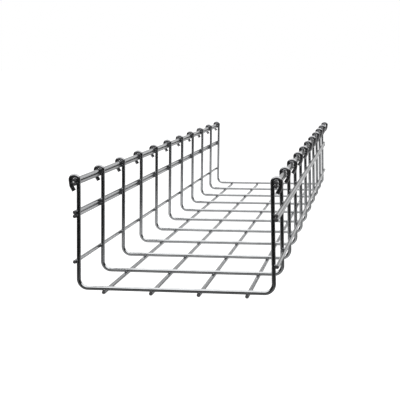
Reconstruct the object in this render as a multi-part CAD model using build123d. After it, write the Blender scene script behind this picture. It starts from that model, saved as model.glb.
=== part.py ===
from build123d import *
from math import radians, tan
import os

# Welded wire-mesh cable tray: U-shaped cross wires standing on straight lengthwise rods.
# Millimetres. +X is across the tray, +Y along it and +Z up. The origin is on the surface that
# the tray stands on, under the middle of the tray.

# ---- Mesh ----
cross_wire_count = 11
cross_wire_pitch = 100.0  # from one cross wire to the next, along the tray
end_overhang = 3.0  # rod past the centre line of the first and last cross wire
inside_width = 200.0  # clear between the wall wires, at the floor
floor_rod_count = 4
floor_rod_pitch = 50.0

# ---- Wire ----
cross_wire_diameter = 4.5
rod_diameter = 4.0
end_chamfer = 0.3  # deburred edge of every cut end
weld_set_down = 0.5  # how deep a rod is pressed into the cross wire at each weld

# ---- Walls: heights are measured up the wall from the floor bar's centre line ----
wall_lean = 1.0  # degrees inward, from overbending
floor_bend_radius = 9.5  # of the centre line
low_rod_height = 27.5
mid_pair_height = 77.5  # to the middle of the pair
top_pair_height = 111.2  # to the middle of the pair
pair_gap = 0.1  # between the two rods of a pair

# ---- Hook at each end of a cross wire, which closes over the top pair ----
hook_clearance = 0.05  # between the hook's inside and the upper rod
hook_closing_angle = 7.0  # degrees that the free leg leans in beside the pair
tip_bend_radius = 8.0  # of the centre line
tip_bend_angle = 24.0  # degrees that the tip turns in below the pair
tip_length = 4.3

# ---- Worked out from the sizes above ----
wire_radius = cross_wire_diameter / 2
rod_radius = rod_diameter / 2
weld_offset = wire_radius + rod_radius - weld_set_down  # centre line to centre line
floor_bar_height = rod_radius + weld_offset
half_width = inside_width / 2 + wire_radius
pair_spacing = rod_diameter + pair_gap
hook_radius = wire_radius + rod_radius + hook_clearance
rod_length = (cross_wire_count - 1) * cross_wire_pitch + 2 * end_overhang

# Outlines are drawn with X across and Y up, and stood up in the XZ plane at the end.
wall_foot = Vector(half_width, floor_bar_height)  # where the wall's line meets the floor's
up_the_wall = Vector(0, 1).rotate(Axis.Z, wall_lean)
out_of_the_wall = Vector(1, 0).rotate(Axis.Z, wall_lean)


def wall_point(height, offset):
    """A point beside the right wall, at a height up it and an offset out of the tray."""
    return wall_foot + up_the_wall * height + out_of_the_wall * offset


def pair_heights(middle):
    """The heights of the two rods of a pair."""
    return {"upper": middle + pair_spacing / 2, "lower": middle - pair_spacing / 2}


def right_side_path():
    """Centre line of a cross wire from the end of its floor bar to the tip of its right hook."""
    floor_turn = 90 + wall_lean
    bend_start = wall_foot - Vector(floor_bend_radius * tan(radians(floor_turn / 2)), 0)
    hook_start = wall_point(pair_heights(top_pair_height)["upper"], 0)
    bend = JernArc(bend_start, (1, 0), floor_bend_radius, floor_turn)
    wall = Line(bend @ 1, hook_start)
    hook = JernArc(wall @ 1, wall % 1, hook_radius, -180 - hook_closing_angle)
    leg = Line(hook @ 1, hook @ 1 + (hook % 1) * pair_spacing)
    tip_bend = JernArc(leg @ 1, leg % 1, tip_bend_radius, -tip_bend_angle)
    tip = Line(tip_bend @ 1, tip_bend @ 1 + (tip_bend % 1) * tip_length)
    return bend + wall + hook + leg + tip_bend + tip


def cross_wire_path():
    """Centre line of a whole cross wire, from hook tip to hook tip."""
    right = right_side_path()
    left = mirror(right, about=Plane.YZ)
    floor = Line(left @ 0, right @ 0)
    return Plane.XZ * Wire(left.edges() + floor.edges() + right.edges())


def cross_wire(rods):
    """One bent cross wire in the XZ plane, with a seat for each rod that is welded to it."""
    path = cross_wire_path()
    section = Plane(origin=path @ 0, z_dir=path % 0) * Circle(wire_radius)
    wire = sweep(section, path=path)
    ends = wire.faces().filter_by(GeomType.PLANE)
    wire = chamfer(ends.edges(), end_chamfer)
    return wire - rods


def rod(x, z):
    """One straight rod along the tray, with its centre line at x and z."""
    straight = Cylinder(rod_radius, rod_length, rotation=(90, 0, 0))
    straight = chamfer(straight.edges().filter_by(GeomType.CIRCLE), end_chamfer)
    return Pos(x, 0, z) * straight


def floor_rods():
    """The single rods under the floor bars, from left to right."""
    first_x = -(floor_rod_count - 1) * floor_rod_pitch / 2
    return {
        f"floor_rod_{number + 1}": rod(first_x + number * floor_rod_pitch, rod_radius)
        for number in range(floor_rod_count)
    }


def side_rods():
    """The rods outside each wall: a low single one, a pair half-way up and a pair in the hooks."""
    heights = {"low_side_rod": low_rod_height}
    for level, height in pair_heights(mid_pair_height).items():
        heights[f"mid_side_rod_{level}"] = height
    for level, height in pair_heights(top_pair_height).items():
        heights[f"top_rod_{level}"] = height
    rods = {}
    for name, height in heights.items():
        place = wall_point(height, weld_offset)
        rods[f"{name}_left"] = rod(-place.X, place.Y)
        rods[f"{name}_right"] = rod(place.X, place.Y)
    return rods


def cross_wires(rods):
    """The row of equal cross wires, from the front of the tray to the back."""
    wire = cross_wire(rods)
    first_y = -(cross_wire_count - 1) * cross_wire_pitch / 2
    return {
        f"cross_wire_{number + 1:02d}": Pos(0, first_y + number * cross_wire_pitch, 0) * wire
        for number in range(cross_wire_count)
    }


rods = floor_rods() | side_rods()
nodes = cross_wires(list(rods.values())) | rods

os.makedirs("parts", exist_ok=True)
for name, piece in nodes.items():
    piece.label = name
    export_step(piece, f"parts/{name}.step")
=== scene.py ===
from math import atan2, pi, radians, tan

import bpy
import numpy as np
from bpy.props import FloatProperty, FloatVectorProperty, IntProperty, PointerProperty
from mathutils import Matrix, Vector


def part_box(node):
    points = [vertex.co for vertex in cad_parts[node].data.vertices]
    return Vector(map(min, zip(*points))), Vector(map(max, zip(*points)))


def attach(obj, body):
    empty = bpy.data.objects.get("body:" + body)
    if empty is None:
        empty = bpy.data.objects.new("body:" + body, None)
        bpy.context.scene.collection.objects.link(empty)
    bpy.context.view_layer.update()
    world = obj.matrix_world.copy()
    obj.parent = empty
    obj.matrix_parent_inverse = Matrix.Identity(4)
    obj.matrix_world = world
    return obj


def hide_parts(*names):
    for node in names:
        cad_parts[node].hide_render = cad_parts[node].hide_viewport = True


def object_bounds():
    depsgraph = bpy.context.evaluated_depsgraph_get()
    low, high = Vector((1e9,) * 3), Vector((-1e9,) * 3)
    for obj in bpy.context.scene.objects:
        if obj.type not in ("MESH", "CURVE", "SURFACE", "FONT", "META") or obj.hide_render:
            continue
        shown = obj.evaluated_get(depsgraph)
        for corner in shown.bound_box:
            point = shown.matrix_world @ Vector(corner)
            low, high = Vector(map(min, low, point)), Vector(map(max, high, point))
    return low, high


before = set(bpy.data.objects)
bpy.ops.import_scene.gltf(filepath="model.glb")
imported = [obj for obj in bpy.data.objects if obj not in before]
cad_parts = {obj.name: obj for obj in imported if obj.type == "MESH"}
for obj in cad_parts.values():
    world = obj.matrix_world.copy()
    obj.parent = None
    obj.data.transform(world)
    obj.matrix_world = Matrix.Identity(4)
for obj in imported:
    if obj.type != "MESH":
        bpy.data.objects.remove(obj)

bl_info = {
    "name": "Wire Mesh Cable Tray",
    "version": (1, 0, 0),
    "blender": (4, 5, 0),
    "location": "3D View > Sidebar > Cable Tray",
    "description": "Bends the cross wires, cuts the rods and welds up a wire mesh cable tray",
    "category": "Object",
}

BODY = "root"
CAD_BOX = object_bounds()
CROSS_WIRES = sorted(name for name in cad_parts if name.startswith("cross_wire_"))
RODS = sorted(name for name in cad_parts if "rod" in name)
FLOOR_RODS = [name for name in RODS if name.startswith("floor_rod")]
RIGHT_RODS = [name for name in RODS if name.endswith("_right")]
STRAIGHT = "straight"  # where a point of a wire would be if the wire were pulled straight
WELD_STAIN_AND_SHADE = "weld_stain_and_shade"  # 1 at a weld, falling to 0 away from it; it darkens the zinc there, partly as dull zinc burnt by the weld and partly as painted shade where the crossing parts shade each other
CUT = "cut"  # 1 on a cut end
SEAM_SHADE = "seam"  # painted shade: 1 deep between the two rods of a pair, where they shade each other
HOOK_DULLING_AND_SHADE = "bent"  # 1 on the hooks: partly zinc dulled on the tight bends, partly painted shade where the hooks press on the top rods

FLOOR_BEND_STEPS = 14
HOOK_STEPS = 22
TIP_BEND_STEPS = 5
SQUEEZED_REACH = 1.05  # how far from its weld a wire is squeezed, in radii
MERGE_DISTANCE = 1e-6
SMOOTH_UP_TO = radians(40)
SIZE_TOLERANCE = 0.0003

# Painted shade between the two rods of a pair: on the underside of the upper rod and the top of the
# lower rod, and over the whole lower rod in the hooks.
SEAM_SHADE_STARTS_ABOVE = -0.6  # on the upper rod of a pair, in radii from its middle
SEAM_SHADE_STARTS_BELOW = 0.5  # on the lower rod
SEAM_SHADE_FADE = 0.3
SEAM_SHADE_IN_HOOKS = (0.35, 1.0)  # least and most painted shade on the pair in the hooks; the whole lower rod gets the least
SEAM_SHADE_ON_WALL = (0.0, 0.4)  # least and most painted shade on the pair half-way up
PATTERN_STEP = 1.37  # how far each copy's pattern is slid along it

BEAD_SEGMENTS = 16
BEAD_RINGS = 6
BEAD_CORNER = 0.6  # where a bead's corners start, in radii
BEAD_CORNER_STRETCH = (1.18, 1.18, 1.3)

DRAW_LINES_SCALE = (2200, 2200, 18)  # fine across the wire, long along it
CLOUD_SCALE = 140.0
CLOUD_TINT = (0.90, 1.08)  # darkest and lightest share of the colour
CLOUD_EDGES = (0.30, 0.70)
CLOUD_ROUGHNESS = (-0.04, 0.06)
GRAIN_SCALE = 5200.0
SPECKLE = 0.02
RELIEF_DEPTH = 0.00003
SPATTER_SCALE = 1500.0
SPATTER_TINT = (0.6, 1.5)
SPATTER_ROUGHNESS = (0.35, 0.65)
SPATTER_DEPTH = 0.0001

# The studio seen in the metal. A step starts and ends at these values of a direction's component.
CEILING_EDGE = (0.42, 0.68)
BACKDROP_EDGE = (0.0, 0.95)
BACKDROP_FOOT_EDGE = (0.24, 0.12)
BACKDROP_FOOT_SIDE = (0.05, 0.30)
TABLE_RIGHT_EDGE = 1.2  # in half widths of the tray
TABLE_BACK_START = 0.4  # in half lengths of the tray


def middle(node):
    """The middle of a CAD node's box."""
    low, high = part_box(node)
    return (low + high) / 2


# ---------------------------------------------------------------- sizes and colours


class WireSizes(bpy.types.PropertyGroup):
    """Sizes of the bent cross wires."""

    diameter: FloatProperty(
        name="Diameter", description="Diameter of a cross wire",
        default=0.0045, unit="LENGTH",
    )
    sides: IntProperty(name="Sides", description="Flats round the wire's section", default=32)
    wall_lean: FloatProperty(
        name="Wall lean", description="How far each wall leans in",
        default=radians(1.0), subtype="ANGLE",
    )
    floor_bend_radius: FloatProperty(
        name="Floor bend", description="Centre line radius between floor and wall",
        default=0.0095, unit="LENGTH",
    )
    hook_radius: FloatProperty(
        name="Hook radius", description="Centre line radius of the hook over the top rods",
        default=0.0043, unit="LENGTH",
    )
    hook_closing_angle: FloatProperty(
        name="Hook closing", description="How far the hook's free leg leans in",
        default=radians(7.0), subtype="ANGLE",
    )
    leg_length: FloatProperty(
        name="Leg", description="Straight leg beside the top rods", default=0.0041, unit="LENGTH",
    )
    tip_bend_radius: FloatProperty(
        name="Tip bend radius", description="Centre line radius above the tip",
        default=0.008, unit="LENGTH",
    )
    tip_bend_angle: FloatProperty(
        name="Tip bend", description="How far the tip turns in below the rods",
        default=radians(24.0), subtype="ANGLE",
    )
    tip_length: FloatProperty(
        name="Tip", description="Straight end of the hook", default=0.0043, unit="LENGTH",
    )


class RodSizes(bpy.types.PropertyGroup):
    """Sizes of the straight rods."""

    diameter: FloatProperty(
        name="Diameter", description="Diameter of a rod", default=0.004, unit="LENGTH",
    )
    sides: IntProperty(name="Sides", description="Flats round the rod's section", default=28)


class WeldSizes(bpy.types.PropertyGroup):
    """Sizes of the resistance welds where a rod crosses a cross wire."""

    set_down: FloatProperty(
        name="Set-down", description="How deep a rod is pressed into a cross wire",
        default=0.0005, unit="LENGTH",
    )
    squeeze: FloatProperty(
        name="Squeeze", description="Share of its thickness that a wire loses at a weld",
        default=0.06, subtype="FACTOR",
    )
    bead_radius: FloatProperty(
        name="Bead radius", description="Reach of the metal squeezed out of a weld",
        default=0.0019, unit="LENGTH",
    )
    bead_thickness: FloatProperty(
        name="Bead thickness", description="Thickness of the metal squeezed out of a weld",
        default=0.0011, unit="LENGTH",
    )
    # The darkening at a weld reaches this far: partly dull zinc burnt by the weld, partly painted shade
    # where the crossing parts shade each other.
    stain_and_shade_reach: FloatProperty(
        name="Stain reach", description="How far along the wire a weld dulls the zinc",
        default=0.0035, unit="LENGTH",
    )
    cut_edge: FloatProperty(
        name="Cut edge", description="Rounding of a cut end", default=0.0003, unit="LENGTH",
    )


class FinishColours(bpy.types.PropertyGroup):
    """Colours of the zinc plating and of the shade painted on it."""

    wire: FloatVectorProperty(
        name="Cross wire zinc", description="Colour of the zinc on the cross wires",
        default=(0.59, 0.60, 0.61), subtype="COLOR", min=0.0, max=1.0,
    )
    rod: FloatVectorProperty(
        name="Rod zinc", description="Colour of the zinc on the rods",
        default=(0.60, 0.61, 0.62), subtype="COLOR", min=0.0, max=1.0,
    )
    # This colour also darkens the wires and rods round each weld, partly as dull burnt zinc and partly
    # as painted shade.
    weld: FloatVectorProperty(
        name="Weld zinc", description="Colour of the dull zinc on a weld",
        default=(0.22, 0.22, 0.23), subtype="COLOR", min=0.0, max=1.0,
    )
    # Painted shade: the dark colour between the two rods of a pair, and over the lower rod in the hooks,
    # where the rods shade each other.
    seam: FloatVectorProperty(
        name="Seam", description="Colour between the two rods of a pair",
        default=(0.12, 0.12, 0.12), subtype="COLOR", min=0.0, max=1.0,
    )
    # Partly painted shade: the darker colour on the hooks is partly zinc dulled on the tight bends,
    # partly shade where the hooks press on the top rods.
    bent: FloatVectorProperty(
        name="Bent zinc", description="Colour of the zinc on a tight bend",
        default=(0.48, 0.48, 0.49), subtype="COLOR", min=0.0, max=1.0,
    )
    cut: FloatVectorProperty(
        name="Cut end", description="Colour of a cut end",
        default=(0.36, 0.36, 0.37), subtype="COLOR", min=0.0, max=1.0,
    )


class StageSettings(bpy.types.PropertyGroup):
    """The camera, the floor and the studio round the tray."""

    camera_place: FloatVectorProperty(
        name="Camera", description="Where the camera stands",
        default=(0.2014, -1.5609, 0.2378), subtype="XYZ", unit="LENGTH",
    )
    camera_turn: FloatVectorProperty(
        name="Camera turn", description="The camera's tilt, roll and heading",
        default=(radians(82.70), radians(0.284), radians(9.32)), subtype="EULER",
    )
    camera_lens: FloatProperty(
        name="Lens", description="Focal length on a 36 mm sensor, in millimetres", default=96.07,
    )
    floor_side: FloatProperty(
        name="Floor", description="Side of the square floor", default=60.0, unit="LENGTH",
    )
    floor_glow: FloatProperty(
        name="Floor glow", description="Light that comes up through the light table",
        default=0.95,
    )
    overhead: FloatProperty(
        name="Overhead", description="Brightness of the ceiling seen in the metal", default=1.35,
    )
    backdrop: FloatProperty(
        name="Backdrop", description="Brightness of the backdrop seen in the metal", default=0.50,
    )
    backdrop_foot: FloatProperty(
        name="Backdrop foot", description="How much brighter the backdrop's foot is", default=0.4,
    )
    table: FloatProperty(
        name="Table", description="Brightness of the light table seen in the metal", default=0.61,
    )
    right_side: FloatProperty(
        name="Right side", description="Share of the table's glow left on the tray's right",
        default=0.5, subtype="FACTOR",
    )
    table_start: FloatProperty(
        name="Table fades from", description="Where the table starts to fade, towards the front",
        default=-0.09, unit="LENGTH",
    )
    table_end: FloatProperty(
        name="Table fades to", description="Where the table has faded into the dark floor",
        default=-0.69, unit="LENGTH",
    )
    dark_side: FloatProperty(
        name="Dark side", description="Brightness of the unlit room seen in the metal",
        default=0.005,
    )


# ---------------------------------------------------------------- drawing and bending wire


def start_fresh():
    """Leaves edit mode and deselects everything, the CAD nodes included."""
    if bpy.context.object and bpy.context.object.mode != "OBJECT":
        bpy.ops.object.mode_set(mode="OBJECT")
    bpy.ops.object.select_all(action="DESELECT")


def select_vertices(piece, wanted):
    """Selects the vertices of a piece in edit mode that wanted accepts by place."""
    bpy.ops.object.mode_set(mode="OBJECT")
    for vertex in piece.data.vertices:
        vertex.select = wanted(vertex.co)
    for edge in piece.data.edges:
        edge.select = all(piece.data.vertices[i].select for i in edge.vertices)
    for face in piece.data.polygons:
        face.select = all(piece.data.vertices[i].select for i in face.vertices)
    bpy.ops.object.mode_set(mode="EDIT")


class Bender:
    """Draws a wire from a round section, one straight run or bend at a time, in the XZ plane.

    It keeps the centre line, so that the finished wire can be measured as if pulled straight.
    """

    def __init__(self, name, place, direction, diameter, sides):
        start_fresh()
        self.point = Vector(place)
        self.direction = Vector(direction)
        self.drawn = 0.0
        self.stretches = []
        bpy.ops.mesh.primitive_circle_add(
            vertices=sides, radius=diameter / 2, fill_type="NOTHING", location=self.point,
            rotation=self.direction.to_track_quat("Z", "Y").to_euler(),
        )
        self.piece = bpy.context.object
        self.piece.name = name
        bpy.ops.object.transform_apply(location=True, rotation=True, scale=True)
        bpy.ops.object.mode_set(mode="EDIT")
        bpy.ops.mesh.select_mode(type="EDGE")
        bpy.ops.mesh.select_all(action="SELECT")

    def run(self, length, stops=()):
        """A straight run, with a ring of edges at each stop along it."""
        self.stretches.append(("run", self.drawn, self.point.copy(), self.direction.copy(), length))
        at = 0.0
        for stop in [*sorted(stop for stop in stops if 0 < stop < length), length]:
            step = self.direction * (stop - at)
            bpy.ops.mesh.extrude_edges_move(TRANSFORM_OT_translate={"value": step[:]})
            self.point += step
            at = stop
        self.drawn += length

    def bend(self, radius, angle, towards, steps):
        """A bend towards the left (1) or the right (-1), seen from the front of the tray."""
        side = Vector((-self.direction.z, 0, self.direction.x)) * towards
        centre = self.point + side * radius
        self.stretches.append(("bend", self.drawn, centre, self.point - centre, towards, angle))
        bpy.ops.mesh.spin(steps=steps, angle=angle, center=centre, axis=(0, towards, 0))
        turn = Matrix.Rotation(-towards * angle, 3, "Y")
        self.point = centre + turn @ (self.point - centre)
        self.direction = turn @ self.direction
        self.drawn += radius * angle

    def straightened(self, places):
        """Each place as (off the centre line in its plane, out of that plane, along the wire)."""
        right = np.abs(places[:, 0])
        nearest = np.full(len(places), np.inf)
        along, aside = np.zeros(len(places)), np.zeros(len(places))
        for stretch in self.stretches:
            if stretch[0] == "run":
                _, start, first, direction, length = stretch
                x, z = right - first.x, places[:, 2] - first.z
                travelled = x * direction.x + z * direction.z
                offset = z * direction.x - x * direction.z
            else:
                _, start, centre, spoke, towards, angle = stretch
                x, z = right - centre.x, places[:, 2] - centre.z
                turned = (np.arctan2(z, x) - atan2(spoke.z, spoke.x)) * towards
                turned = (turned + pi / 2) % (2 * pi) - pi / 2
                radius, length = spoke.length, spoke.length * angle
                travelled = turned * radius
                offset = (radius - np.hypot(x, z)) * towards
            beyond = np.maximum(0, np.maximum(-travelled, travelled - length))
            distance = np.hypot(beyond, offset)
            better = distance < nearest
            nearest[better] = distance[better]
            along[better] = (start + travelled)[better]
            aside[better] = offset[better]
        return np.stack([aside, places[:, 1], np.copysign(along, places[:, 0])], axis=1)


def weld_stops(welds, spread):
    """Where a wire needs rings round its welds: at each weld and a little before and after it."""
    stops = sorted({round(weld + step * spread, 6) for weld in welds for step in (-3, -1, 0, 1, 3)})
    kept = []
    for stop in stops:
        if not kept or stop - kept[-1] > spread / 2 or stop in welds:
            kept.append(stop)
    return kept


def close_ends(piece, cut_edge):
    """Caps the open ends of a wire and rounds the cut edges."""
    bpy.ops.mesh.select_all(action="DESELECT")
    bpy.ops.mesh.select_non_manifold()
    bpy.ops.mesh.fill_holes(sides=0)
    bpy.ops.object.mode_set(mode="OBJECT")
    for face in piece.data.polygons:
        face.select = len(face.vertices) > 4
    bpy.ops.object.mode_set(mode="EDIT")
    bpy.ops.mesh.select_mode(type="FACE")
    bpy.ops.mesh.region_to_loop()
    bpy.ops.mesh.bevel(offset=cut_edge, segments=2, affect="EDGES")
    bpy.ops.mesh.select_all(action="SELECT")
    bpy.ops.mesh.normals_make_consistent(inside=False)


def squeeze_weld(piece, centre, normal, share, reach):
    """Flattens a wire a little at a weld, along normal, and lets it bulge to the sides."""
    select_vertices(piece, lambda place: (place - centre).length < reach)
    flat = [1 + share / 2 - abs(component) * share * 1.5 for component in normal]
    bpy.ops.transform.resize(value=flat, center_override=centre)


def store(piece, name, kind, values):
    """Stores one value for each vertex of a piece."""
    attribute = piece.data.attributes.new(name, kind, "POINT")
    field = "vector" if kind == "FLOAT_VECTOR" else "value"
    attribute.data.foreach_set(field, np.asarray(values, np.float32).ravel())


def places_of(piece):
    """The place of each vertex of a piece."""
    places = np.zeros(len(piece.data.vertices) * 3, np.float32)
    piece.data.vertices.foreach_get("co", places)
    return places.reshape(-1, 3).astype(float)


def mark_wire(piece, straight, welds, reach):
    """Stores each point's place on the straightened wire, its nearness to a weld and the cut ends."""
    along = straight[:, 2]
    gaps = np.abs(np.abs(along)[:, None] - np.array([welds])).min(axis=1)
    store(piece, STRAIGHT, "FLOAT_VECTOR", straight)
    store(piece, WELD_STAIN_AND_SHADE, "FLOAT", np.exp(-((gaps / reach) ** 2)))
    store(piece, CUT, "FLOAT", np.isclose(along, along.max()) | np.isclose(along, along.min()))


def copy_of(master, name, turn, place):
    """A copy of a master with its own mesh, turned and placed in the mesh itself."""
    start_fresh()
    master.select_set(True)
    bpy.context.view_layer.objects.active = master
    bpy.ops.object.duplicate(linked=False)
    piece = bpy.context.object
    piece.name = name
    piece.rotation_euler = turn
    piece.location = place
    bpy.ops.object.transform_apply(location=True, rotation=True, scale=True)
    return piece


def mark_seam_shade(piece, node, radius):
    """Stores the painted shade on each point of a paired rod: deep between the two rods, and, in the
    hooks, over all of the lower rod.
    """
    height = (places_of(piece)[:, 2] - middle(node).z) / radius
    least, most = SEAM_SHADE_IN_HOOKS if node.startswith("top_") else SEAM_SHADE_ON_WALL
    if "_upper_" in node:
        store(piece, SEAM_SHADE, "FLOAT", np.clip((SEAM_SHADE_STARTS_ABOVE - height) / SEAM_SHADE_FADE, 0, most))
    elif "_lower_" in node:
        store(piece, SEAM_SHADE, "FLOAT", np.clip((height - SEAM_SHADE_STARTS_BELOW) / SEAM_SHADE_FADE, least, most))


def vary_pattern(piece, number):
    """Slides the drawn pattern along a copy, so that no two copies are marked alike."""
    data = piece.data.attributes[STRAIGHT].data
    straight = np.zeros(len(data) * 3, np.float32)
    data.foreach_get("vector", straight)
    straight[2::3] += number * PATTERN_STEP
    data.foreach_set("vector", straight)


def finish_piece(piece, material, node=None):
    """Gives a piece its finish and fixes it to the tray in place of its CAD node."""
    start_fresh()
    piece.select_set(True)
    bpy.context.view_layer.objects.active = piece
    bpy.ops.object.shade_smooth_by_angle(angle=SMOOTH_UP_TO)
    piece.data.materials.clear()
    piece.data.materials.append(material)
    if node:
        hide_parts(node)
    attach(piece, BODY)


def check_size(piece, node):
    """Stops the script if a piece isn't as large as the CAD node it stands for."""
    places = places_of(piece)
    low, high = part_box(node)
    off = max(np.abs(places.min(axis=0) - low).max(), np.abs(places.max(axis=0) - high).max())
    if off > SIZE_TOLERANCE:
        raise RuntimeError(f"{piece.name} is {off * 1000:.2f} mm off the size of {node}")


# ---------------------------------------------------------------- finishes


def node_of(tree, kind, **settings):
    """A shader node with its settings and the values of its inputs."""
    node = tree.nodes.new(kind)
    for name, value in settings.items():
        if name in node.inputs:
            node.inputs[name].default_value = value
        else:
            setattr(node, name, value)
    return node


def soft_step(tree, value, start, end, before, after):
    """A smooth step from before to after, while value goes from start to end."""
    step = node_of(tree, "ShaderNodeMapRange", interpolation_type="SMOOTHSTEP")
    for name, number in zip(("From Min", "From Max", "To Min", "To Max"), (start, end, before, after)):
        step.inputs[name].default_value = number
    tree.links.new(value, step.inputs["Value"])
    return step.outputs["Result"]


def combine(tree, operation, first, second):
    """The sum, the product or the larger of two outputs, or of an output and a number."""
    both = node_of(tree, "ShaderNodeMath", operation=operation)
    tree.links.new(first, both.inputs[0])
    if isinstance(second, float):
        both.inputs[1].default_value = second
    else:
        tree.links.new(second, both.inputs[1])
    return both.outputs["Value"]


def tinted(tree, pattern, colour, shares, edges=(0.0, 1.0)):
    """A colour that goes from the first share of itself to the second over a pattern."""
    tint = node_of(tree, "ShaderNodeValToRGB")
    for stop, share, edge in zip(tint.color_ramp.elements, shares, edges):
        stop.position = edge
        stop.color = [min(1, channel * share) for channel in colour] + [1]
    tree.links.new(pattern, tint.inputs["Fac"])
    return tint.outputs["Color"]


def spread_over(tree, pattern, ends):
    """A value that goes from one end to the other over a pattern."""
    spread = node_of(tree, "ShaderNodeMapRange")
    spread.inputs["To Min"].default_value, spread.inputs["To Max"].default_value = ends
    tree.links.new(pattern, spread.inputs["Value"])
    return spread.outputs["Result"]


def zinc(name, colours, colour, roughness, drawn, stain_and_shade):
    """Bright zinc on drawn steel: cloudy plating and fine draw lines.

    It is duller and darker at the welds and on the hooks, partly as real dull zinc and partly as painted
    shade, and darkest between the two rods of a pair, which is painted shade; a cut end is bare, rough
    steel.
    """
    material = bpy.data.materials.new(name)
    material.use_nodes = True
    tree, link = material.node_tree, material.node_tree.links.new
    shader = tree.nodes["Principled BSDF"]
    shader.inputs["Metallic"].default_value = 1.0
    place = node_of(tree, "ShaderNodeTexCoord")
    straight = node_of(tree, "ShaderNodeAttribute", attribute_name=STRAIGHT)

    stretch = node_of(tree, "ShaderNodeMapping")
    stretch.inputs["Scale"].default_value = DRAW_LINES_SCALE
    link(straight.outputs["Vector"], stretch.inputs["Vector"])
    draw_lines = node_of(tree, "ShaderNodeTexNoise", Scale=1.0, Detail=3.0, Roughness=0.6)
    link(stretch.outputs["Vector"], draw_lines.inputs["Vector"])
    cloud = node_of(tree, "ShaderNodeTexNoise", Scale=CLOUD_SCALE, Detail=4.0, Roughness=0.55)
    link(place.outputs["Object"], cloud.inputs["Vector"])
    grain = node_of(tree, "ShaderNodeTexNoise", Scale=GRAIN_SCALE, Detail=2.0)
    link(place.outputs["Object"], grain.inputs["Vector"])

    colour_so_far = tinted(tree, cloud.outputs["Fac"], colour, CLOUD_TINT, CLOUD_EDGES)
    ends = [roughness + change for change in CLOUD_ROUGHNESS]
    roughness_so_far = spread_over(tree, cloud.outputs["Fac"], ends)
    # Darkening marks: round the welds (dull zinc and painted shade), on the hooks (dulled zinc and
    # painted shade), painted shade between paired rods, and the bare cut ends.
    for mark, strength, marked_colour, marked_roughness in (
        (WELD_STAIN_AND_SHADE, stain_and_shade, colours.weld, 0.42),
        (HOOK_DULLING_AND_SHADE, 1.0, colours.bent, 0.20),
        (SEAM_SHADE, 1.0, colours.seam, 0.50),
        (CUT, 1.0, colours.cut, 0.45),
    ):
        marked = node_of(tree, "ShaderNodeAttribute", attribute_name=mark)
        share = combine(tree, "MULTIPLY", marked.outputs["Fac"], strength)
        painted = node_of(tree, "ShaderNodeMix", data_type="RGBA")
        link(share, painted.inputs[0])
        link(colour_so_far, painted.inputs[6])
        painted.inputs[7].default_value = (*marked_colour, 1)
        roughened = node_of(tree, "ShaderNodeMix", data_type="FLOAT")
        link(share, roughened.inputs[0])
        link(roughness_so_far, roughened.inputs[2])
        roughened.inputs[3].default_value = marked_roughness
        colour_so_far, roughness_so_far = painted.outputs[2], roughened.outputs[0]
    link(colour_so_far, shader.inputs["Base Color"])
    link(roughness_so_far, shader.inputs["Roughness"])

    lines = node_of(tree, "ShaderNodeBump", Strength=drawn, Distance=RELIEF_DEPTH)
    link(draw_lines.outputs["Fac"], lines.inputs["Height"])
    speckle = node_of(tree, "ShaderNodeBump", Strength=SPECKLE, Distance=RELIEF_DEPTH)
    link(grain.outputs["Fac"], speckle.inputs["Height"])
    link(lines.outputs["Normal"], speckle.inputs["Normal"])
    link(speckle.outputs["Normal"], shader.inputs["Normal"])
    return material


def weld_metal(colour):
    """The dull, spattered zinc over the metal squeezed out of a weld."""
    material = bpy.data.materials.new("weld_metal")
    material.use_nodes = True
    tree, link = material.node_tree, material.node_tree.links.new
    shader = tree.nodes["Principled BSDF"]
    shader.inputs["Metallic"].default_value = 1.0
    place = node_of(tree, "ShaderNodeTexCoord")
    spatter = node_of(tree, "ShaderNodeTexNoise", Scale=SPATTER_SCALE, Detail=4.0, Roughness=0.7)
    link(place.outputs["Object"], spatter.inputs["Vector"])
    link(tinted(tree, spatter.outputs["Fac"], colour, SPATTER_TINT), shader.inputs["Base Color"])
    link(spread_over(tree, spatter.outputs["Fac"], SPATTER_ROUGHNESS), shader.inputs["Roughness"])
    pits = node_of(tree, "ShaderNodeBump", Strength=0.5, Distance=SPATTER_DEPTH)
    link(spatter.outputs["Fac"], pits.inputs["Height"])
    link(pits.outputs["Normal"], shader.inputs["Normal"])
    return material


# ---------------------------------------------------------------- the pieces


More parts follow.
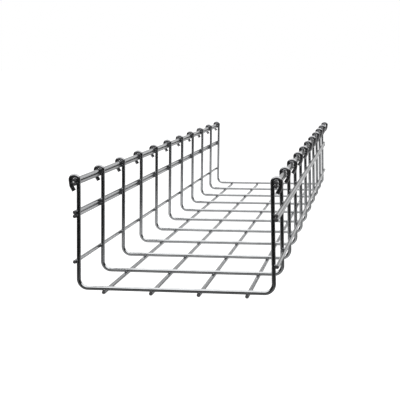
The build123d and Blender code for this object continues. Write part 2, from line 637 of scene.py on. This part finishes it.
class CABLETRAY_OT_cross_wires(bpy.types.Operator):
    """Bends one cross wire over the top rods and sets the whole row of them"""

    bl_idname = "cable_tray.cross_wires"
    bl_label = "Bend the cross wires"

    def execute(self, context):
        sizes, welds = context.scene.wire_sizes, context.scene.weld_sizes
        colours = context.scene.finish_colours
        master, bender, stations = self.bend_half(sizes, welds)
        bpy.ops.object.mode_set(mode="OBJECT")
        mirror = master.modifiers.new("other_half", "MIRROR")
        mirror.merge_threshold = MERGE_DISTANCE
        bpy.ops.object.modifier_apply(modifier=mirror.name)
        bpy.ops.object.mode_set(mode="EDIT")
        close_ends(master, welds.cut_edge)
        bpy.ops.object.mode_set(mode="OBJECT")
        straight = bender.straightened(places_of(master))
        mark_wire(master, straight, stations, welds.stain_and_shade_reach)
        # The hooks are darkened: partly zinc dulled on the tight bends, partly painted shade where they
        # press on the top rods.
        hook_start = bender.stretches[3][1]
        hooked = (np.abs(straight[:, 2]) - hook_start) / sizes.diameter
        store(master, HOOK_DULLING_AND_SHADE, "FLOAT", np.clip(hooked + 0.5, 0, 1))
        material = zinc(
            "bright_zinc_wire", colours, colours.wire, roughness=0.12, drawn=0.04, stain_and_shade=0.15,
        )
        for number, node in enumerate(CROSS_WIRES):
            wire = copy_of(master, f"bent_{node}", (0, 0, 0), (0, middle(node).y, 0))
            check_size(wire, node)
            vary_pattern(wire, number)
            finish_piece(wire, material, node)
        bpy.data.objects.remove(master)
        return {"FINISHED"}

    def bend_half(self, sizes, welds):
        """Half a cross wire from the middle of the floor to the right hook's tip, in edit mode.

        Also returns its bender and how far along the half wire each weld lies.
        """
        low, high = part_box(CROSS_WIRES[0])
        radius = sizes.diameter / 2
        bar_height = low.z + radius
        up = Matrix.Rotation(-sizes.wall_lean, 3, "Y") @ Vector((0, 0, 1))
        out = Matrix.Rotation(-sizes.wall_lean, 3, "Y") @ Vector((1, 0, 0))
        reach = sizes.hook_radius + radius
        hook_centre = Vector((high.x - reach, 0, high.z - reach))
        wall_top = hook_centre - out * sizes.hook_radius
        wall_height = (wall_top.z - bar_height) / up.z
        wall_foot = wall_top - up * wall_height
        floor_turn = pi / 2 + sizes.wall_lean
        cut_back = sizes.floor_bend_radius * tan(floor_turn / 2)

        spread = sizes.diameter / 2
        floor_welds = [middle(rod).x for rod in FLOOR_RODS if middle(rod).x > 0]
        wall_welds = [(middle(rod) - wall_foot).dot(up) - cut_back for rod in RIGHT_RODS]
        bender = Bender("cross_wire", (0, 0, bar_height), (1, 0, 0), sizes.diameter, sizes.sides)
        bender.run(wall_foot.x - cut_back, weld_stops(floor_welds, spread))
        bender.bend(sizes.floor_bend_radius, floor_turn, 1, FLOOR_BEND_STEPS)
        wall_start = bender.drawn
        bender.run(wall_height - cut_back, weld_stops(wall_welds, spread))
        bender.bend(sizes.hook_radius, pi + sizes.hook_closing_angle, -1, HOOK_STEPS)
        bender.run(sizes.leg_length)
        bender.bend(sizes.tip_bend_radius, sizes.tip_bend_angle, -1, TIP_BEND_STEPS)
        bender.run(sizes.tip_length)

        for x in floor_welds:
            centre = Vector((x, 0, bar_height))
            squeeze_weld(bender.piece, centre, (0, 0, 1), welds.squeeze, radius * SQUEEZED_REACH)
        for along in wall_welds:
            centre = wall_foot + up * (along + cut_back)
            if along < wall_height - cut_back - radius:
                squeeze_weld(bender.piece, centre, out, welds.squeeze, radius * SQUEEZED_REACH)
        stations = floor_welds + [wall_start + along for along in wall_welds]
        return bender.piece, bender, stations


class CABLETRAY_OT_rods(bpy.types.Operator):
    """Cuts one rod to length and sets it under the floor and outside the walls"""

    bl_idname = "cable_tray.rods"
    bl_label = "Cut the rods"

    def execute(self, context):
        sizes, welds = context.scene.rod_sizes, context.scene.weld_sizes
        colours = context.scene.finish_colours
        master = self.draw_rod(sizes, welds)
        material = zinc(
            "bright_zinc_rod", colours, colours.rod, roughness=0.13, drawn=0.07, stain_and_shade=0.3,
        )
        for number, node in enumerate(RODS):
            turn = 0 if node in FLOOR_RODS else pi / 2 if node.endswith("_left") else -pi / 2
            place = middle(node)
            piece = copy_of(master, f"drawn_{node}", (0, turn, 0), (place.x, 0, place.z))
            check_size(piece, node)
            mark_seam_shade(piece, node, sizes.diameter / 2)
            vary_pattern(piece, number)
            finish_piece(piece, material, node)
        bpy.data.objects.remove(master)
        return {"FINISHED"}

    def draw_rod(self, sizes, welds):
        """A rod along Y on the origin's axis, squeezed from above at each cross wire."""
        low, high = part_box(RODS[0])
        length = high.y - low.y
        crossings = [middle(wire).y - low.y for wire in CROSS_WIRES]
        radius = sizes.diameter / 2
        bender = Bender("rod", (0, low.y, 0), (0, 1, 0), sizes.diameter, sizes.sides)
        bender.run(length, weld_stops(crossings, radius))
        for crossing in crossings:
            centre = Vector((0, low.y + crossing, 0))
            squeeze_weld(bender.piece, centre, (0, 0, 1), welds.squeeze, radius * SQUEEZED_REACH)
        close_ends(bender.piece, welds.cut_edge)
        bpy.ops.object.mode_set(mode="OBJECT")
        places = places_of(bender.piece)
        straight = np.stack([places[:, 0], places[:, 2], places[:, 1] - low.y], axis=1)
        mark_wire(bender.piece, straight, crossings, welds.stain_and_shade_reach)
        return bender.piece


class CABLETRAY_OT_welds(bpy.types.Operator):
    """Shapes one weld bead and sets one at every crossing of a rod and a cross wire"""

    bl_idname = "cable_tray.welds"
    bl_label = "Weld the crossings"

    def execute(self, context):
        sizes, rods = context.scene.weld_sizes, context.scene.rod_sizes
        lean = context.scene.wire_sizes.wall_lean
        bead = self.shape_bead(sizes)
        beads = []
        for rod in RODS:
            turn = 0 if rod in FLOOR_RODS else lean + pi / 2 if rod.endswith("_left") else -lean - pi / 2
            seat = Matrix.Rotation(turn, 3, "Y") @ Vector((0, 0, rods.diameter / 2 - sizes.set_down / 2))
            beads.append(copy_of(bead, "bead", (0, turn, 0), middle(rod) + seat))
        start_fresh()
        for piece in beads:
            piece.select_set(True)
        bpy.context.view_layer.objects.active = beads[0]
        bpy.ops.object.join()
        row = bpy.context.object
        material = weld_metal(context.scene.finish_colours.weld)
        for wire in CROSS_WIRES:
            piece = copy_of(row, wire.replace("cross_wire", "welds"), (0, 0, 0), (0, middle(wire).y, 0))
            finish_piece(piece, material)
        bpy.data.objects.remove(row)
        bpy.data.objects.remove(bead)
        return {"FINISHED"}

    def shape_bead(self, sizes):
        """A flat bead that is squeezed out furthest into the four corners of the crossing."""
        start_fresh()
        bpy.ops.mesh.primitive_uv_sphere_add(
            segments=BEAD_SEGMENTS, ring_count=BEAD_RINGS, radius=sizes.bead_radius,
        )
        bead = bpy.context.object
        bead.name = "bead_master"
        bpy.ops.object.mode_set(mode="EDIT")
        bpy.ops.mesh.select_all(action="SELECT")
        flat = sizes.bead_thickness / (2 * sizes.bead_radius)
        bpy.ops.transform.resize(value=(1, 1, flat), center_override=(0, 0, 0))
        corner = sizes.bead_radius * BEAD_CORNER
        select_vertices(bead, lambda place: abs(place.x) > corner and abs(place.y) > corner)
        bpy.ops.transform.resize(value=BEAD_CORNER_STRETCH, center_override=(0, 0, 0))
        bpy.ops.object.mode_set(mode="OBJECT")
        return bead


# ---------------------------------------------------------------- the stage


class CABLETRAY_OT_stage(bpy.types.Operator):
    """Sets up the white floor, the soft studio light and the camera"""

    bl_idname = "cable_tray.stage"
    bl_label = "Set the stage"

    def execute(self, context):
        settings = context.scene.stage_settings
        self.lay_floor(settings)
        self.light_studio(context.scene, settings)
        self.place_camera(context.scene, settings)
        context.scene.view_settings.view_transform = "Standard"
        return {"FINISHED"}

    def lay_floor(self, settings):
        """A light table just under the tray, which looks less bright in the metal.

        In the metal the table ends in front of the tray, and the floor before it is dark.
        """
        start_fresh()
        bpy.ops.mesh.primitive_plane_add(size=settings.floor_side, location=(0, 0, CAD_BOX[0].z))
        floor = bpy.context.object
        floor.name = "floor"
        material = bpy.data.materials.new("white_floor")
        material.use_nodes = True
        tree, link = material.node_tree, material.node_tree.links.new
        shader = tree.nodes["Principled BSDF"]
        shader.inputs["Base Color"].default_value = (0.3, 0.3, 0.3, 1)
        shader.inputs["Roughness"].default_value = 1.0
        shader.inputs["Specular IOR Level"].default_value = 0.0
        shader.inputs["Emission Color"].default_value = (1, 1, 1, 1)
        shader.inputs["Emission Strength"].default_value = settings.floor_glow

        place = node_of(tree, "ShaderNodeTexCoord")
        axes = node_of(tree, "ShaderNodeSeparateXYZ")
        link(place.outputs["Object"], axes.inputs["Vector"])
        high = CAD_BOX[1]
        along = soft_step(
            tree, axes.outputs["Y"], settings.table_end, settings.table_start,
            settings.dark_side, settings.table,
        )
        beside = soft_step(
            tree, axes.outputs["X"], high.x, high.x * TABLE_RIGHT_EDGE, 1.0, settings.right_side,
        )
        behind = soft_step(tree, axes.outputs["Y"], high.y * TABLE_BACK_START, high.y, 0.0, 1.0)
        glow = combine(tree, "MULTIPLY", along, combine(tree, "MAXIMUM", beside, behind))
        mirrored = node_of(tree, "ShaderNodeEmission")
        link(glow, mirrored.inputs["Strength"])
        seen = node_of(tree, "ShaderNodeLightPath")
        either = node_of(tree, "ShaderNodeMixShader")
        link(seen.outputs["Is Glossy Ray"], either.inputs[0])
        link(shader.outputs["BSDF"], either.inputs[1])
        link(mirrored.outputs["Emission"], either.inputs[2])
        link(either.outputs["Shader"], tree.nodes["Material Output"].inputs["Surface"])
        floor.data.materials.append(material)

    def light_studio(self, scene, settings):
        """A bright ceiling, a grey backdrop behind and an unlit room elsewhere."""
        world = bpy.data.worlds.new("studio")
        scene.world = world
        world.use_nodes = True
        tree, link = world.node_tree, world.node_tree.links.new
        where = node_of(tree, "ShaderNodeTexCoord")
        axes = node_of(tree, "ShaderNodeSeparateXYZ")
        link(where.outputs["Generated"], axes.inputs["Vector"])
        x, y, z = axes.outputs

        ceiling = soft_step(tree, z, *CEILING_EDGE, settings.dark_side, settings.overhead)
        low_down = soft_step(tree, z, *BACKDROP_FOOT_EDGE, 0.0, settings.backdrop_foot)
        towards_right = soft_step(tree, x, *BACKDROP_FOOT_SIDE, 0.0, 1.0)
        foot = combine(tree, "MULTIPLY", low_down, towards_right)
        brightness = combine(tree, "ADD", foot, settings.backdrop)
        towards_back = soft_step(tree, y, *BACKDROP_EDGE, 0.0, 1.0)
        backdrop = combine(tree, "MULTIPLY", brightness, towards_back)
        seen = node_of(tree, "ShaderNodeLightPath")
        white = node_of(tree, "ShaderNodeMix", data_type="FLOAT")
        link(seen.outputs["Is Camera Ray"], white.inputs[0])
        link(combine(tree, "ADD", ceiling, backdrop), white.inputs[2])
        white.inputs[3].default_value = 1.0
        link(white.outputs[0], tree.nodes["Background"].inputs["Color"])

    def place_camera(self, scene, settings):
        """The camera stands to the right of the tray's front end and looks along it."""
        camera = bpy.data.objects.new("camera", bpy.data.cameras.new("camera"))
        scene.collection.objects.link(camera)
        camera.location = settings.camera_place
        camera.rotation_euler = settings.camera_turn
        camera.data.lens = settings.camera_lens
        scene.camera = camera


# ---------------------------------------------------------------- the add-on


class CABLETRAY_PT_panel(bpy.types.Panel):
    """Lists the tray's sizes, its colours and the steps that make it"""

    bl_label = "Cable Tray"
    bl_space_type = "VIEW_3D"
    bl_region_type = "UI"
    bl_category = "Cable Tray"

    def draw(self, context):
        for name, kind in SETTINGS.items():
            box = self.layout.box()
            box.label(text=kind.__doc__)
            for setting in kind.__annotations__:
                box.prop(getattr(context.scene, name), setting)
        for step in STEPS:
            self.layout.operator(step.bl_idname)


SETTINGS = {
    "wire_sizes": WireSizes,
    "rod_sizes": RodSizes,
    "weld_sizes": WeldSizes,
    "finish_colours": FinishColours,
    "stage_settings": StageSettings,
}
STEPS = (
    CABLETRAY_OT_cross_wires,
    CABLETRAY_OT_rods,
    CABLETRAY_OT_welds,
    CABLETRAY_OT_stage,
)


def register():
    for kind in (*SETTINGS.values(), *STEPS, CABLETRAY_PT_panel):
        bpy.utils.register_class(kind)
    for name, kind in SETTINGS.items():
        setattr(bpy.types.Scene, name, PointerProperty(type=kind))


def unregister():
    for name in SETTINGS:
        delattr(bpy.types.Scene, name)
    for kind in reversed((*SETTINGS.values(), *STEPS, CABLETRAY_PT_panel)):
        bpy.utils.unregister_class(kind)


def main():
    register()
    bpy.ops.cable_tray.cross_wires()
    bpy.ops.cable_tray.rods()
    bpy.ops.cable_tray.welds()
    bpy.ops.cable_tray.stage()


if __name__ == "__main__":
    main()
